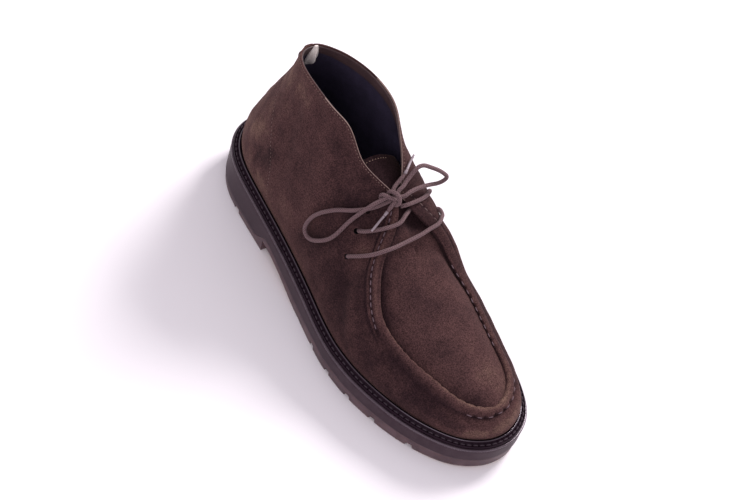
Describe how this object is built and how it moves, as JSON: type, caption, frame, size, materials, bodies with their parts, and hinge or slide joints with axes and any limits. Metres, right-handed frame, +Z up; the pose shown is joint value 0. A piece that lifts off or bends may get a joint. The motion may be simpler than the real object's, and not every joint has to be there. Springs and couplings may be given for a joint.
{
  "type": "ankle-high moc-toe derby shoe",
  "caption": "Right ankle-high moc-toe derby shoe: hollow suede upper, tongue and tied lace on a stitched welt and a lugged, heeled rubber sole.",
  "frame": {"origin": "on the floor under the middle of the sole's bounding box, the lace's knot, loops and ends left out", "axes": "+Z up, +Y from toe to heel, +X from the outer to the inner side of a right shoe"},
  "size_m": [0.1115, 0.301, 0.1398],
  "materials": {
    "suede": "matte suede",
    "lining": "matte",
    "gum": "satin, slightly translucent",
    "taupe_rubber": "satin",
    "welt_rubber": "satin",
    "lace": "matte woven",
    "tab": "matte"
  },
  "bodies": {
    "root": {"outsole": "gum", "midsole": "taupe_rubber", "welt": "welt_rubber", "insole": "lining", "upper": "suede", "tongue": "suede", "heel_strip": "suede", "pull_tab": "tab", "lace_bar_lower": "lace", "lace_bar_upper": "lace", "lace_bar_top": "lace", "lace_knot": "lace", "lace_loop_lateral": "lace", "lace_loop_medial": "lace", "lace_end_upper": "lace", "lace_end_lower": "lace"}
  },
  "joints": []
}
